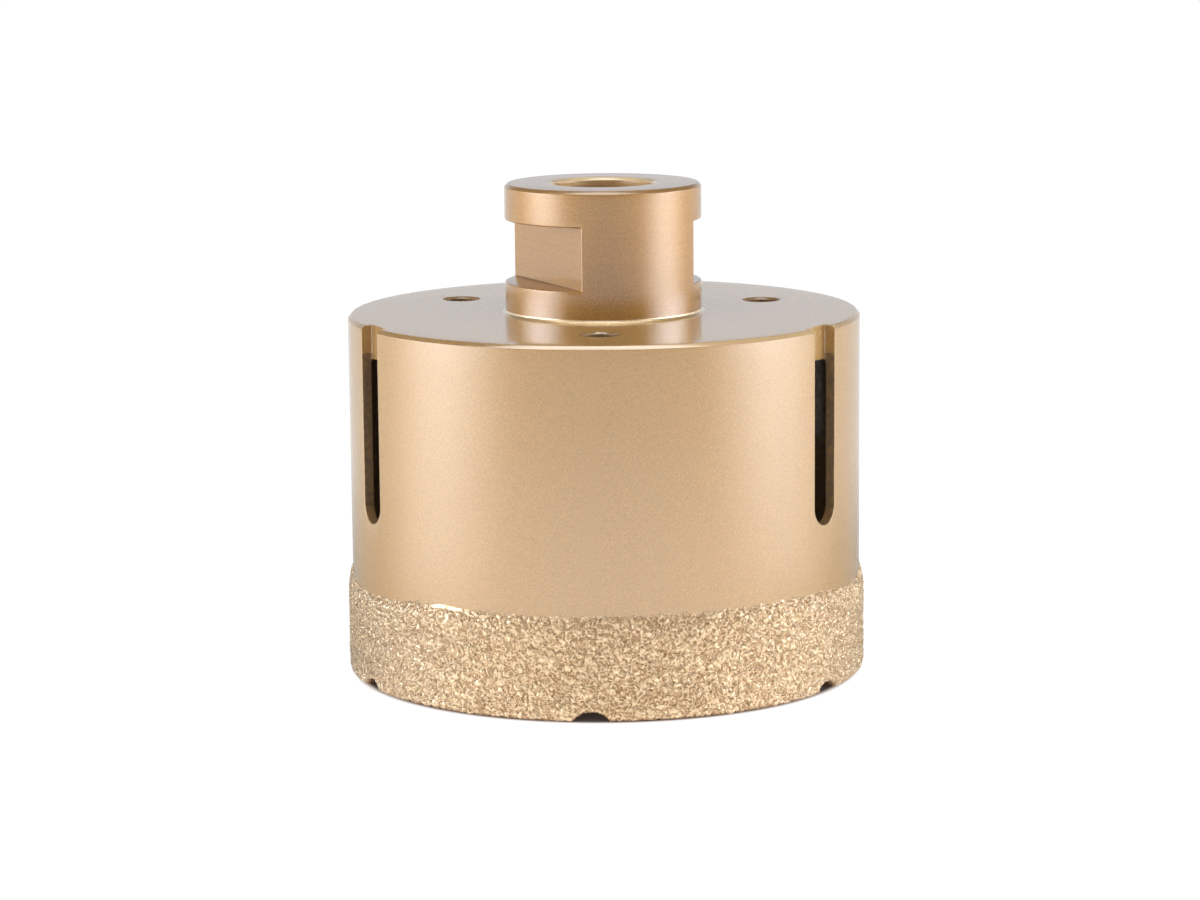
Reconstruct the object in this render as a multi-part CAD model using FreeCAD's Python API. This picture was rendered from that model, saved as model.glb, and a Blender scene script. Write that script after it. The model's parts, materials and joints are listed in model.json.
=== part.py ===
import FreeCAD, Part
import math
import os

# Tile core bit, rim down. Millimetres, +Z up, origin at the middle of the plane that the rim stands on.
# Angles are seen from above: 0 is the front, -Y, and they grow towards +X.

# Cup: barrel and top plate
barrel_diameter = 70.4
barrel_wall = 1.35
cup_top = 49.4
plate_thickness = 4.3
plate_edge_chamfer = 0.5
inside_corner_bevel = 0.9

# Grit coat on the rim
coat_outside = 0.8
coat_inside = 0.7
coat_end = 0.8
coat_outside_height = 14.1
coat_inside_height = 10.0
coat_edge_bevel = 0.35

# Arched notches in the rim, measured over the coat that lines them
notch_count = 6
notch_arc_radius = 2.95
notch_height = 1.45
notch_coat = 0.55

# Slots down the barrel, cut a little past the wall so that they also channel the plate's edge
slot_count = 3
slot_width = 5.2
slot_end = 22.8
slot_past_wall = 0.3
slot_first_angle = 60.0

# Countersunk ejector holes in the plate, drilled a little unevenly round their circle
ejector_angles = (2.2, 117.3, -120.4)
ejector_circle_radius = 24.2
ejector_diameter = 4.8
ejector_countersink = 0.3

# Hub
hub_diameter = 27.0
hub_height = 17.7
hub_top_chamfer = 0.45
lower_flange = 4.25
upper_flange = 4.9
across_flats = 17.0
flat_normal_angle = -60.0
flat_corner_radius = 0.3
bore_diameter = 14.0
bore_mouth_chamfer = 0.3
bore_end_chamfer = 1.0
spigot_diameter = 20.0
spigot_clearance = 0.05
spigot_chamfer = 0.4

# Braze ring at the hub's foot
fillet_leg = 0.4

# Sizes worked out from the ones above
barrel_radius = barrel_diameter / 2
cavity_radius = barrel_radius - barrel_wall
plate_underside = cup_top - plate_thickness
hub_radius = hub_diameter / 2
bore_radius = bore_diameter / 2
spigot_radius = spigot_diameter / 2
hub_top = cup_top + hub_height
rim_radius = barrel_radius + coat_outside
coat_bore_radius = cavity_radius - coat_inside
slot_floor = cavity_radius - slot_past_wall
cutter_margin = 1.0
lining_top = notch_height + notch_coat + cutter_margin


def at_angle(radius, degrees, height=0.0):
    turn = math.radians(degrees)
    return FreeCAD.Vector(radius * math.sin(turn), -radius * math.cos(turn), height)


def evenly(count, first=0.0):
    return [first + 360.0 * number / count for number in range(count)]


def turned(profile):
    """A solid turned about Z from (radius, height) points."""
    points = [FreeCAD.Vector(radius, 0, height) for radius, height in profile]
    outline = Part.makePolygon(points + points[:1])
    return Part.Face(outline).revolve(FreeCAD.Vector(), FreeCAD.Vector(0, 0, 1), 360)


def turn_to(shape, degrees):
    """Swing a shape that was made at the front, -Y, round to its angle."""
    placed = shape.copy()
    placed.rotate(FreeCAD.Vector(), FreeCAD.Vector(0, 0, 1), degrees)
    return placed


def notch_cutter(arc_radius):
    """A rod across the wall at the front. Its centre lies below the rim plane."""
    centre_height = notch_height - notch_arc_radius
    start = FreeCAD.Vector(0, -(rim_radius + cutter_margin), centre_height)
    length = rim_radius - coat_bore_radius + 2 * cutter_margin
    return Part.makeCylinder(arc_radius, length, start, FreeCAD.Vector(0, 1, 0))


def slot_cutter():
    """A flat-floored slot at the front with a half-round lower end and an open top."""
    half = slot_width / 2
    floor = -slot_floor
    turn_height = slot_end + half
    top = cup_top + cutter_margin
    left_foot = FreeCAD.Vector(-half, floor, turn_height)
    right_foot = FreeCAD.Vector(half, floor, turn_height)
    left_top = FreeCAD.Vector(-half, floor, top)
    right_top = FreeCAD.Vector(half, floor, top)
    end_arc = Part.Arc(left_foot, FreeCAD.Vector(0, floor, slot_end), right_foot)
    outline = Part.Wire([
        end_arc.toShape(),
        Part.makeLine(right_foot, right_top),
        Part.makeLine(right_top, left_top),
        Part.makeLine(left_top, left_foot),
    ])
    reach = barrel_radius + cutter_margin - slot_floor
    return Part.Face(outline).extrude(FreeCAD.Vector(0, -reach, 0))


def ejector_cutter():
    """The drilled hole at the front with its countersink in the plate's top."""
    hole_radius = ejector_diameter / 2
    mouth_radius = hole_radius + ejector_countersink
    foot = at_angle(ejector_circle_radius, 0, plate_underside - cutter_margin)
    sink_foot = at_angle(ejector_circle_radius, 0, cup_top - ejector_countersink)
    hole = Part.makeCylinder(hole_radius, plate_thickness + cutter_margin, foot)
    sink = Part.makeCone(
        hole_radius, mouth_radius + cutter_margin, ejector_countersink + cutter_margin, sink_foot)
    return hole.fuse(sink)


def build_cup():
    """Barrel and plate turned as one, then slotted, drilled and notched."""
    seat_radius = spigot_radius + spigot_clearance
    blank = turned([
        (cavity_radius, coat_end),
        (barrel_radius, coat_end),
        (barrel_radius, cup_top - plate_edge_chamfer),
        (barrel_radius - plate_edge_chamfer, cup_top),
        (seat_radius, cup_top),
        (seat_radius, plate_underside),
        (cavity_radius - inside_corner_bevel, plate_underside),
        (cavity_radius, plate_underside - inside_corner_bevel),
    ])
    cutters = [turn_to(slot_cutter(), angle) for angle in evenly(slot_count, slot_first_angle)]
    cutters += [turn_to(ejector_cutter(), angle) for angle in ejector_angles]
    steel_notch = notch_cutter(notch_arc_radius + notch_coat)
    cutters += [turn_to(steel_notch, angle) for angle in evenly(notch_count)]
    return blank.cut(cutters)


def build_grit_rim(cup):
    """A band that wraps the rim, less the open notches and less the steel, which leaves the coat."""
    band = turned([
        (coat_bore_radius + coat_edge_bevel, 0),
        (rim_radius - coat_edge_bevel, 0),
        (rim_radius, coat_edge_bevel),
        (rim_radius, coat_outside_height - coat_edge_bevel),
        (rim_radius - coat_edge_bevel, coat_outside_height),
        (barrel_radius, coat_outside_height),
        (barrel_radius, lining_top),
        (cavity_radius, lining_top),
        (cavity_radius, coat_inside_height),
        (coat_bore_radius + coat_edge_bevel, coat_inside_height),
        (coat_bore_radius, coat_inside_height - coat_edge_bevel),
        (coat_bore_radius, coat_edge_bevel),
    ])
    notches = [turn_to(notch_cutter(notch_arc_radius), angle) for angle in evenly(notch_count)]
    return band.cut(notches).cut(cup)


def flat_cutter():
    """The milled flat at the front, from the flange below to the flange above, with a small corner radius."""
    length = hub_diameter + 2 * cutter_margin
    depth = hub_radius - across_flats / 2 + cutter_margin
    height = hub_height - lower_flange - upper_flange
    corner = FreeCAD.Vector(-length / 2, -(hub_radius + cutter_margin), cup_top + lower_flange)
    block = Part.makeBox(length, depth, height, corner)
    inner_corners = []
    for edge in block.Edges:
        middle = edge.CenterOfMass
        at_flat = abs(middle.y + across_flats / 2) < 0.001
        if at_flat and edge.BoundBox.ZLength < 0.001:
            inner_corners.append(edge)
    return block.makeFillet(flat_corner_radius, inner_corners)


def build_hub():
    """Turned hub with its spigot and through bore, then two milled spanner flats."""
    blank = turned([
        (bore_radius + bore_end_chamfer, plate_underside),
        (spigot_radius - spigot_chamfer, plate_underside),
        (spigot_radius, plate_underside + spigot_chamfer),
        (spigot_radius, cup_top),
        (hub_radius, cup_top),
        (hub_radius, hub_top - hub_top_chamfer),
        (hub_radius - hub_top_chamfer, hub_top),
        (bore_radius + bore_mouth_chamfer, hub_top),
        (bore_radius, hub_top - bore_mouth_chamfer),
        (bore_radius, plate_underside + bore_end_chamfer),
    ])
    flats = [turn_to(flat_cutter(), flat_normal_angle), turn_to(flat_cutter(), flat_normal_angle + 180.0)]
    return blank.cut(flats)


def build_braze_fillet():
    """A hollow-faced ring of braze that fills the corner between hub and plate."""
    hollow = fillet_leg * (1 - math.sqrt(0.5))
    return turned([
        (hub_radius, cup_top),
        (hub_radius + fillet_leg, cup_top),
        (hub_radius + hollow, cup_top + hollow),
        (hub_radius, cup_top + fillet_leg),
    ])


def write_node(name, shape):
    solid = shape.removeSplitter()
    print(name, "solids", len(solid.Solids), "valid", solid.isValid(), "volume", round(solid.Volume, 2))
    solid.exportStep("parts/" + name + ".step")


os.makedirs("parts", exist_ok=True)
cup = build_cup()
write_node("cup", cup)
write_node("grit_rim", build_grit_rim(cup))
write_node("spindle_hub", build_hub())
write_node("braze_fillet", build_braze_fillet())
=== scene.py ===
import bpy
import bmesh
import json
import math
from mathutils import Matrix, Vector, noise


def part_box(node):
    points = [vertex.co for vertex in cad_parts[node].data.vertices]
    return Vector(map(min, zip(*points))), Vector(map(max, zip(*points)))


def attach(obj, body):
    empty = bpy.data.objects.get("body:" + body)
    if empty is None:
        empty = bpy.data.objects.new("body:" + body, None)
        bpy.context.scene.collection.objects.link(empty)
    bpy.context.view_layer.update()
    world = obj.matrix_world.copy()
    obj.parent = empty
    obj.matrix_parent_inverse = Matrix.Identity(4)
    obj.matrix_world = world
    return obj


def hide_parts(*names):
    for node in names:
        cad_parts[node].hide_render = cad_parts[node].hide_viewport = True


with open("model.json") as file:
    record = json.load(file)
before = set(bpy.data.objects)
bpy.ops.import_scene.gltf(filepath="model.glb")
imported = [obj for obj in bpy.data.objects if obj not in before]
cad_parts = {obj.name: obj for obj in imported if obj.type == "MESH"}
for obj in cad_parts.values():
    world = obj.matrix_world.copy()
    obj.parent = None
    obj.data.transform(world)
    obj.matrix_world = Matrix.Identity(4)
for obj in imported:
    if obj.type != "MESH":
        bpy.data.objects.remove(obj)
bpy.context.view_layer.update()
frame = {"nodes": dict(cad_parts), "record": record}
record = frame["record"]
mm = 0.001

# Sizes that come from the frame
cupLow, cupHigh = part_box("cup")
hubLow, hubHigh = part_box("spindle_hub")
rimLow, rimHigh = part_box("grit_rim")
barrelRadius = -cupLow.y
cupTop = cupHigh.z
plateUnderside = hubLow.z
hubTop = hubHigh.z
hubRadius = hubHigh.x
rimRadius = -rimLow.y
mountPlaces = {mount["name"]: mount for mount in record["mounts"]}
boreRadius = mountPlaces["spindle_thread"]["dims"]["r_mm"] * mm
flatDistance = Vector(mountPlaces["spanner_flat_front"]["pos_m"]).to_2d().length
print("frame loaded:", ", ".join(sorted(frame["nodes"])))


def onRing(radius, degrees, height):  # 0 degrees is the front, -Y, and angles grow towards +X
    turn = math.radians(degrees)
    return Vector((radius * math.sin(turn), -radius * math.cos(turn), height))


def evenRun(start, end, count):
    return [start + (end - start) * number / count for number in range(count + 1)]


def spaced(start, end, step):
    return evenRun(start, end, max(1, math.ceil(abs(end - start) / step)))


def smoothStep(low, high, value):
    share = min(1.0, max(0.0, (value - low) / (high - low)))
    return share * share * (3 - 2 * share)


def roundedOutline(corners, arcSteps=6, longestRun=None):
    # corners are (radius, height, rounding); each rounding becomes an arc
    outline = []
    count = len(corners)
    for number in range(count):
        here = Vector(corners[number][:2])
        before = Vector(corners[number - 1][:2]) - here
        after = Vector(corners[(number + 1) % count][:2]) - here
        rounding = corners[number][2]
        if rounding <= 0:
            outline.append(here)
            continue
        half = before.angle(after) / 2
        reach = rounding / math.tan(half)
        centre = here + (before.normalized() + after.normalized()).normalized() * (rounding / math.sin(half))
        first = here + before.normalized() * reach - centre
        last = here + after.normalized() * reach - centre
        sweep = first.angle_signed(last)
        for step in range(arcSteps + 1):
            outline.append(centre + Matrix.Rotation(-sweep * step / arcSteps, 2) @ first)
    if longestRun is None:
        return outline
    divided = []
    for here, there in zip(outline, outline[1:] + outline[:1]):
        parts = max(1, math.ceil((there - here).length / longestRun))
        divided += [here.lerp(there, part / parts) for part in range(parts)]
    return divided


# Node helpers
def put(tree, kind, inputs=None, **settings):
    node = tree.nodes.new(kind)
    for name, value in settings.items():
        setattr(node, name, value)
    for name, value in (inputs or {}).items():
        if isinstance(value, bpy.types.NodeSocket):
            tree.links.new(value, node.inputs[name])
        else:
            node.inputs[name].default_value = value
    return node


def calc(tree, operation, first, second=0.0, third=0.0, clamp=False):
    inputs = {0: first, 1: second, 2: third}
    return put(tree, "ShaderNodeMath", inputs, operation=operation, use_clamp=clamp).outputs[0]


def times(tree, first, second, clamp=False):
    return calc(tree, "MULTIPLY", first, second, clamp=clamp)


def axesOf(tree, vector):
    return put(tree, "ShaderNodeSeparateXYZ", {"Vector": vector}).outputs


def vectorCalc(tree, operation, first, second):
    inputs = {0: first, ("Scale" if operation == "SCALE" else 1): second}
    return put(tree, "ShaderNodeVectorMath", inputs, operation=operation).outputs[0]


def ramp(tree, value, fromLow, fromHigh, toLow=0.0, toHigh=1.0, smooth=True):
    inputs = {"Value": value, "From Min": fromLow, "From Max": fromHigh, "To Min": toLow, "To Max": toHigh}
    kind = "SMOOTHSTEP" if smooth else "LINEAR"
    return put(tree, "ShaderNodeMapRange", inputs, interpolation_type=kind).outputs["Result"]


def between(tree, share, low, high):
    return calc(tree, "MULTIPLY_ADD", share, calc(tree, "SUBTRACT", high, low), low)


def apart(tree, first, second):
    return calc(tree, "ABSOLUTE", calc(tree, "SUBTRACT", first, second))


def stored(tree, name):
    return put(tree, "ShaderNodeAttribute", attribute_name=name).outputs["Fac"]


def objectPlace(tree):
    return put(tree, "ShaderNodeTexCoord").outputs["Object"]


def noiseAt(tree, place, scale, detail, **inputs):  # given a W it is a 4D noise
    inputs.update(Vector=place, Scale=scale, Detail=detail)
    return put(tree, "ShaderNodeTexNoise", inputs, noise_dimensions="4D" if "W" in inputs else "3D").outputs


def blendColours(tree, share, first, second):
    node = put(tree, "ShaderNodeMix", data_type="RGBA", blend_type="MIX")
    for socket, value in ((node.inputs[0], share), (node.inputs[6], first), (node.inputs[7], second)):
        if isinstance(value, bpy.types.NodeSocket):
            tree.links.new(value, socket)
        else:
            socket.default_value = value
    return node.outputs[2]


def newTree(name, kind, inputs, outputs):
    tree = bpy.data.node_groups.new(name, kind)
    for socketName, socketType, value in inputs:
        socket = tree.interface.new_socket(socketName, in_out="INPUT", socket_type="NodeSocket" + socketType)
        if value is not None:
            socket.default_value = value
    for socketName, socketType in outputs:
        tree.interface.new_socket(socketName, in_out="OUTPUT", socket_type="NodeSocket" + socketType)
    return tree, tree.nodes.new("NodeGroupInput").outputs, tree.nodes.new("NodeGroupOutput").inputs


def newShapeTree(name, values):
    inputs = [("Geometry", "Geometry", None)]
    inputs += [(key, "Int" if isinstance(value, int) else "Float", value) for key, value in values.items()]
    inputs += [("Material", "Material", None)]
    return newTree(name, "GeometryNodeTree", inputs, [("Geometry", "Geometry")])


# Mesh helpers
def newObject(name, mesh):
    made = bpy.data.objects.new(name, mesh)
    bpy.context.scene.collection.objects.link(made)
    return made


def meshFrom(name, points, edges=(), faces=()):
    mesh = bpy.data.meshes.new(name)
    mesh.from_pydata([tuple(point) for point in points], list(edges), list(faces))
    return mesh


def chainObject(name, points):  # a closed chain of points and edges
    count = len(points)
    edges = [(number, (number + 1) % count) for number in range(count)]
    return newObject(name, meshFrom(name, points, edges))


def loopFaces(loops, count, joined=False):
    # quads between loops of points; the last loop meets the first, or else both ends are capped
    faces = []
    for level in range(loops if joined else loops - 1):
        here, there = level * count, (level + 1) % loops * count
        for number in range(count):
            after = (number + 1) % count
            faces.append((here + number, here + after, there + after, there + number))
    if not joined:
        faces.append(tuple(range(count)))
        faces.append(tuple(loops * count - 1 - number for number in range(count)))
    return faces


def mark(mesh, name, values, domain="FACE", kind="FLOAT"):
    marks = mesh.attributes.new(name, kind, domain)
    marks.data.foreach_set("vector" if kind == "FLOAT_VECTOR" else "value", values)


def addTree(piece, tree, values):  # inputs are set by identifier before the object is evaluated
    modifier = piece.modifiers.new(tree.name, "NODES")
    modifier.node_group = tree
    for item in tree.interface.items_tree:
        if item.item_type == "SOCKET" and item.in_out == "INPUT" and item.name in values:
            modifier[item.identifier] = values[item.name]


def settle(piece, name):
    # the evaluated shape becomes a plain mesh on a new object, and the old one goes
    evaluated = piece.evaluated_get(bpy.context.evaluated_depsgraph_get())
    mesh = bpy.data.meshes.new_from_object(evaluated)
    mesh.name = name
    bpy.data.objects.remove(piece)
    return newObject(name, mesh)


def faceOutwards(piece, mergeDistance=0.0):
    work = bmesh.new()
    work.from_mesh(piece.data)
    if mergeDistance:
        bmesh.ops.remove_doubles(work, verts=work.verts, dist=mergeDistance)
    bmesh.ops.recalc_face_normals(work, faces=work.faces)
    work.to_mesh(piece.data)
    work.free()


def cutWith(piece, cutters):
    for cutter in cutters:
        cut = piece.modifiers.new("cut", "BOOLEAN")
        cut.operation = "DIFFERENCE"
        cut.solver = "EXACT"
        cut.object = cutter
    done = settle(piece, piece.name)
    for cutter in cutters:
        bpy.data.objects.remove(cutter)
    return done


def shadeByAngle(piece, degrees):
    piece.data.shade_smooth()
    piece.data.set_sharp_from_angle(angle=math.radians(degrees))


def fit(piece, node):
    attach(piece, "root")
    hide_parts(node)


def sendPainted(tree, geometry, given, result):  # the end of every Geometry Nodes tree
    real = put(tree, "GeometryNodeRealizeInstances", {"Geometry": geometry.outputs[0]})
    painted = put(tree, "GeometryNodeSetMaterial", {"Geometry": real.outputs[0], "Material": given["Material"]})
    tree.links.new(painted.outputs[0], result["Geometry"])
    return tree


# Geometry Nodes: a closed outline turned about Z
def turningTree():
    tree, given, result = newShapeTree("turnedOutline", {"Outline Points": 8, "Segments": 64})
    rows = calc(tree, "ADD", given["Outline Points"], 1.0)
    columns = calc(tree, "ADD", given["Segments"], 1.0)
    grid = put(tree, "GeometryNodeMeshGrid", {"Vertices X": columns, "Vertices Y": rows})
    index = put(tree, "GeometryNodeInputIndex").outputs[0]
    column = calc(tree, "FLOOR", calc(tree, "DIVIDE", calc(tree, "ADD", index, 0.5), rows))
    row = calc(tree, "SUBTRACT", index, times(tree, column, rows))
    source = calc(tree, "MODULO", calc(tree, "ADD", row, 0.5), given["Outline Points"])
    place = put(tree, "GeometryNodeSampleIndex", {
        "Geometry": given["Geometry"], "Value": put(tree, "GeometryNodeInputPosition").outputs[0],
        "Index": calc(tree, "FLOOR", source)}, data_type="FLOAT_VECTOR", domain="POINT")
    turn = times(tree, column, calc(tree, "DIVIDE", math.tau, given["Segments"]))
    turned = put(tree, "ShaderNodeVectorRotate", {"Vector": place.outputs[0], "Angle": turn},
                 rotation_type="Z_AXIS")
    shaped = put(tree, "GeometryNodeSetPosition", {
        "Geometry": grid.outputs["Mesh"], "Position": turned.outputs[0]})
    joined = put(tree, "GeometryNodeMergeByDistance", {"Geometry": shaped.outputs[0], "Distance": 1e-6})
    return sendPainted(tree, joined, given, result)


# Geometry Nodes: copies of a shape swung round Z
def ringTree():
    tree, given, result = newShapeTree("ringOfCopies", {"Count": 3, "First Angle": 0.0})
    points = put(tree, "GeometryNodeMeshLine", {"Count": given["Count"], "Offset": (0, 0, 0)})
    index = put(tree, "GeometryNodeInputIndex").outputs[0]
    step = calc(tree, "DIVIDE", math.tau, given["Count"])
    first = times(tree, given["First Angle"], math.pi / 180)
    turn = put(tree, "ShaderNodeCombineXYZ", {"Z": calc(tree, "MULTIPLY_ADD", index, step, first)})
    copies = put(tree, "GeometryNodeInstanceOnPoints", {
        "Points": points.outputs[0], "Instance": given["Geometry"], "Rotation": turn.outputs[0]})
    return sendPainted(tree, copies, given, result)


turnedOutline = turningTree()
ringOfCopies = ringTree()


def turnedPiece(name, corners, segments, material, arcSteps=6, longestRun=None):
    outline = roundedOutline(corners, arcSteps, longestRun)
    source = chainObject(name + "Outline", [(x * mm, 0, z * mm) for x, z in outline])
    addTree(source, turnedOutline, {
        "Outline Points": len(outline), "Segments": segments, "Material": material})
    made = settle(source, name)
    faceOutwards(made, 1e-7)
    return made


def ringed(piece, count, firstAngle, material):
    addTree(piece, ringOfCopies, {"Count": count, "First Angle": firstAngle, "Material": material})
    return settle(piece, piece.name)


# Camera, at the photograph's viewing angle
cameraSpec = {"distance": 479.8, "height": 113.32, "azimuth": 3.4, "pitch": 9.87, "yaw": -0.0824,
              "roll": -0.517, "lens": 105.275, "sensor": 36.0}


def makeCamera(spec):
    data = bpy.data.cameras.new("camera")
    data.sensor_fit = "HORIZONTAL"
    data.sensor_width = spec["sensor"]
    data.lens = spec["lens"]
    data.clip_start = 0.01
    data.clip_end = 50.0
    pitch, yaw, roll = (math.radians(spec[key]) for key in ("pitch", "yaw", "roll"))
    ahead = Vector((math.sin(yaw) * math.cos(pitch), math.cos(yaw) * math.cos(pitch), -math.sin(pitch)))
    right = ahead.cross(Vector((0, 0, 1))).normalized()
    up = right.cross(ahead)
    tiltedRight = right * math.cos(roll) + up * math.sin(roll)
    tiltedUp = up * math.cos(roll) - right * math.sin(roll)
    look = Matrix((tiltedRight, tiltedUp, -ahead)).transposed().to_4x4()
    place = Matrix.Translation(Vector((0, -spec["distance"] * mm, spec["height"] * mm)))
    camera = bpy.data.objects.new("camera", data)
    bpy.context.scene.collection.objects.link(camera)
    camera.matrix_world = Matrix.Rotation(math.radians(spec["azimuth"]), 4, "Z") @ place @ look
    bpy.context.scene.camera = camera


makeCamera(cameraSpec)
print("camera placed")


# Shader groups
sprayRough = {"grain": 0.12, "cloud": 0.1}
sprayBump = {"Strength": 0.12, "Distance": 0.02 * mm}


def sprayGroup():
    # fine sprayed grain and soft cloudy patches
    tree, given, result = newTree("sprayedCoat", "ShaderNodeTree", [
        ("Vector", "Vector", None), ("Colour", "Color", (0.6, 0.4, 0.25, 1)), ("Grain Size", "Float", 0.2),
        ("Cloud Size", "Float", 6.0), ("Grain Amount", "Float", 0.1), ("Cloud Amount", "Float", 0.08),
        ("Roughness", "Float", 0.35)],
        [("Colour", "Color"), ("Roughness", "Float"), ("Height", "Float")])
    inMm = vectorCalc(tree, "SCALE", given["Vector"], 1000.0)
    grain = noiseAt(tree, inMm, calc(tree, "DIVIDE", 1.0, given["Grain Size"]), 2.0, Roughness=0.6)["Fac"]
    cloud = noiseAt(tree, inMm, calc(tree, "DIVIDE", 1.0, given["Cloud Size"]), 3.0, Roughness=0.55)["Fac"]
    grainTone = times(tree, calc(tree, "SUBTRACT", grain, 0.5), given["Grain Amount"])
    cloudTone = times(tree, calc(tree, "SUBTRACT", cloud, 0.5), given["Cloud Amount"])
    tone = calc(tree, "ADD", calc(tree, "ADD", grainTone, cloudTone), 1.0)
    toned = vectorCalc(tree, "SCALE", given["Colour"], tone)
    rough = given["Roughness"]
    for pattern, gain in ((grain, sprayRough["grain"]), (cloud, sprayRough["cloud"])):
        rough = calc(tree, "MULTIPLY_ADD", calc(tree, "SUBTRACT", pattern, 0.5), gain, rough)
    tree.links.new(toned, result["Colour"])
    tree.links.new(rough, result["Roughness"])
    tree.links.new(grain, result["Height"])
    return tree


sprayedCoat = sprayGroup()


def newMaterial(name):
    material = bpy.data.materials.new(name)
    material.use_nodes = True
    material.node_tree.nodes.clear()
    return material, material.node_tree


def finishMaterial(tree, look, colour, roughness, coatWeight, bump, **inputs):
    inputs.update({
        "Base Color": colour, "Metallic": 1.0, "Roughness": roughness, "Normal": bump.outputs[0],
        "Coat Weight": coatWeight, "Coat Roughness": look["coatRoughness"], "Coat IOR": look["coatIor"]})
    shader = put(tree, "ShaderNodeBsdfPrincipled", inputs)
    put(tree, "ShaderNodeOutputMaterial", {"Surface": shader.outputs[0]})


def sprayNode(tree, place, look):
    node = put(tree, "ShaderNodeGroup", node_tree=sprayedCoat)
    for name, value in look["spray"].items():
        node.inputs[name].default_value = value
    tree.links.new(place, node.inputs["Vector"])
    return node.outputs


barrelFinish = {
    "spray": {"Colour": (0.58, 0.362, 0.134, 1), "Roughness": 0.78, "Grain Size": 0.22, "Cloud Size": 7.0,
              "Grain Amount": 0.8, "Cloud Amount": 0.12},
    "shadeColour": (0.28, 0.19, 0.12, 1), "paintedLight": (0.82, 0.6, 0.32, 1), "coatRoughness": 0.14, "coatIor": 2.0,
    "mottleScale": 1500.0, "mottleSpan": (0.35, 0.75), "mottleLevels": (-1.3, 1.0)}


def barrelMaterial(look):
    material, tree = newMaterial("goldBarrel")
    place = objectPlace(tree)
    spray = sprayNode(tree, place, look)
    # painted shade: marked hollow faces are mixed in mottled patches towards a dark shade colour and lose their
    # coat
    shadeAndHighlight = stored(tree, "shadeAndHighlight")
    mottle = noiseAt(tree, place, look["mottleScale"], 3.0)["Fac"]
    patches = ramp(tree, mottle, *look["mottleSpan"], *look["mottleLevels"])
    patches = calc(tree, "MULTIPLY_ADD", shadeAndHighlight, patches, 1.0)
    unshaded = times(tree, calc(tree, "SUBTRACT", 1.0, shadeAndHighlight), patches)
    shadeShare = times(tree, calc(tree, "SUBTRACT", 1.0, unshaded, clamp=True),
                   calc(tree, "GREATER_THAN", shadeAndHighlight, 0.01))
    colour = blendColours(tree, shadeShare, spray["Colour"], look["shadeColour"])
    # painted highlight: the front part of the plate's edge chamfer is painted a lighter gold
    colour = blendColours(tree, times(tree, shadeAndHighlight, -1.0, clamp=True), colour, look["paintedLight"])
    bump = put(tree, "ShaderNodeBump", dict(sprayBump, Height=spray["Height"]))
    finishMaterial(tree, look, colour, spray["Roughness"], calc(tree, "SUBTRACT", 1.0, shadeShare), bump)
    return material


hubFinish = {
    "spray": {"Colour": (0.495, 0.264, 0.064, 1), "Roughness": 0.68, "Grain Size": 0.22, "Cloud Size": 5.0,
              "Grain Amount": 1.0, "Cloud Amount": 0.12},
    "paintedLight": (0.9, 0.7, 0.42, 1), "coat": 1.0, "coatRoughness": 0.17, "coatIor": 1.95,
    "streakScale": (60.0, 60.0, 5000.0), "streakSpan": (0.3, 0.7), "streakLevels": (0.97, 1.03)}
brazeFinish = dict(
    hubFinish, spray=dict(hubFinish["spray"], Colour=(0.92, 0.68, 0.36, 1), Roughness=0.45),
    paintedLight=(0.92, 0.68, 0.36, 1), coatRoughness=0.12, coatIor=2.2)


def turnedMaterial(name, look):
    material, tree = newMaterial(name)
    place = objectPlace(tree)
    spray = sprayNode(tree, place, look)
    turned = vectorCalc(tree, "MULTIPLY", place, look["streakScale"])
    streaks = noiseAt(tree, turned, 1.0, 1.0)["Fac"]
    tone = ramp(tree, streaks, *look["streakSpan"], *look["streakLevels"])
    colour = vectorCalc(tree, "SCALE", spray["Colour"], tone)
    # painted light: faces marked in the bore are mixed towards a lighter gold
    colour = blendColours(tree, stored(tree, "paintedLight"), colour, look["paintedLight"])
    bump = put(tree, "ShaderNodeBump", dict(sprayBump, Height=spray["Height"]))
    finishMaterial(tree, look, colour, spray["Roughness"], look["coat"], bump)
    return material


gritFinish = {
    "spray": {"Colour": (0.86, 0.625, 0.355, 1), "Roughness": 0.5, "Grain Size": 0.12, "Cloud Size": 2.5,
              "Grain Amount": 0.3, "Cloud Amount": 0.25},
    "pit": (0.6, 0.38, 0.19, 1), "smear": (0.85, 0.62, 0.34, 1), "coatRoughness": 0.1, "coatIor": 2.0,
    "foldSize": 0.4, "foldWidth": 0.065, "foldDepth": 0.18, "pitSpan": (0.05, 0.45), "pitCoat": 0.5,
    "roughSpan": (0.15, 0.45), "smearRoughness": 0.8, "leftShadeSpan": (-0.034, -0.008), "leftShadeTone": 0.83}


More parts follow.
